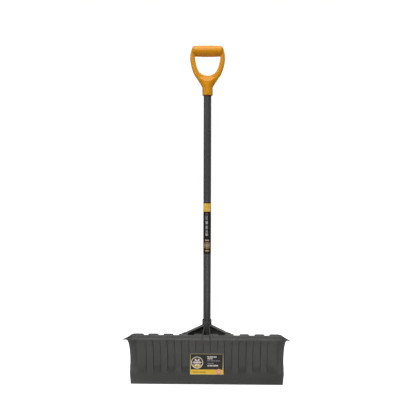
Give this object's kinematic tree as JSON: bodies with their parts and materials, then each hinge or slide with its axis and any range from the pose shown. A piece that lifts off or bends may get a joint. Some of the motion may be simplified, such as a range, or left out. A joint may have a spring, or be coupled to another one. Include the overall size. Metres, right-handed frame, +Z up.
{
  "type": "snow pusher",
  "caption": "Long-handled snow pusher with a wide ribbed curved blade, a braced socket, a straight tube shaft and a D-shaped hand grip.",
  "frame": {"origin": "middle of the flat under the blade's scraping edge", "axes": "+Z up along the shaft, -Y towards the hollow front of the blade, +X along the blade"},
  "size_m": [0.6214, 0.2086, 1.346],
  "materials": {
    "blade": "moulded, fine matte grain",
    "bracket": "moulded, satin",
    "shaft": "powder coat, semi-gloss",
    "grip": "moulded, semi-gloss",
    "fastener": "zinc plated",
    "shaft_label": "printed film",
    "blade_label": "printed film"
  },
  "bodies": {
    "root": {"blade": "blade", "socket_bracket": "bracket", "blade_screws": "fastener", "shaft": "shaft", "shaft_bolt": "fastener", "shaft_bolt_washers": "fastener", "shaft_nut": "fastener", "grip": "grip", "grip_screw": "fastener", "shaft_label": "shaft_label", "blade_label": "blade_label"}
  },
  "joints": []
}
